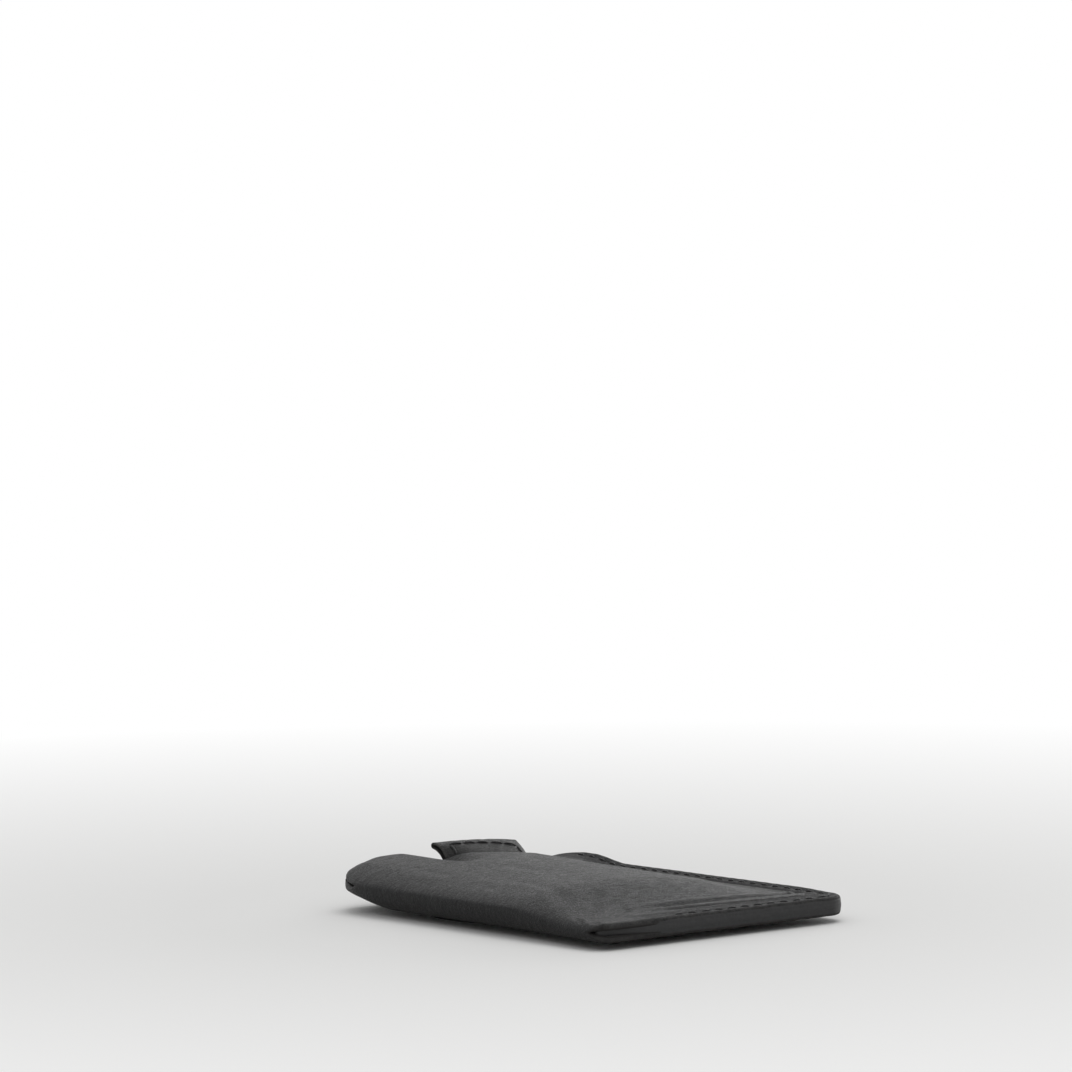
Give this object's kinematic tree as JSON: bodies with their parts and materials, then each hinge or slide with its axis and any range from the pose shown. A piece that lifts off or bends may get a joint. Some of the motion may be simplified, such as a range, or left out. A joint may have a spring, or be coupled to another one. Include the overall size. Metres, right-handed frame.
{
  "type": "magnetic phone wallet",
  "caption": "Slim leather card wallet that sticks to the back of a phone with a magnet ring, with a bulging pocket, thumb scoop and pull tab.",
  "frame": {"origin": "centre of the magnet ring, on the flat face that meets the phone", "axes": "+Z away from the phone, +Y from the sewn foot to the pocket mouth, +X from the fold to the stitched seam"},
  "size_m": [0.071, 0.0939, 0.0117],
  "materials": {
    "black_leather": "smooth full-grain, satin, with painted cut edges",
    "suede_lining": "short-nap microfibre",
    "tray_plastic": "soft-touch moulded",
    "magnet_nickel": "nickel-plated",
    "shield_steel": "cold-rolled strip",
    "ribbon_fabric": "woven grosgrain"
  },
  "bodies": {
    "wallet": {"leather_wrap": "black_leather", "pocket_lining": "suede_lining", "magnet_tray": "tray_plastic", "ring_magnet_01": "magnet_nickel", "ring_magnet_02": "magnet_nickel", "ring_magnet_03": "magnet_nickel", "ring_magnet_04": "magnet_nickel", "ring_magnet_05": "magnet_nickel", "ring_magnet_06": "magnet_nickel", "ring_magnet_07": "magnet_nickel", "ring_magnet_08": "magnet_nickel", "ring_magnet_09": "magnet_nickel", "ring_magnet_10": "magnet_nickel", "ring_magnet_11": "magnet_nickel", "ring_magnet_12": "magnet_nickel", "ring_magnet_13": "magnet_nickel", "ring_magnet_14": "magnet_nickel", "ring_magnet_15": "magnet_nickel", "ring_magnet_16": "magnet_nickel", "bar_magnet": "magnet_nickel", "shield_ring": "shield_steel", "pull_ribbon": "ribbon_fabric"},
    "tab": {"pull_tab": "black_leather"}
  },
  "joints": [
    {"name": "tab_pull", "type": "slide", "parent": "wallet", "child": "tab", "axis": [0, 1, 0], "range_m": [0, 0.02], "deforming": ["pull_ribbon"]}
  ]
}
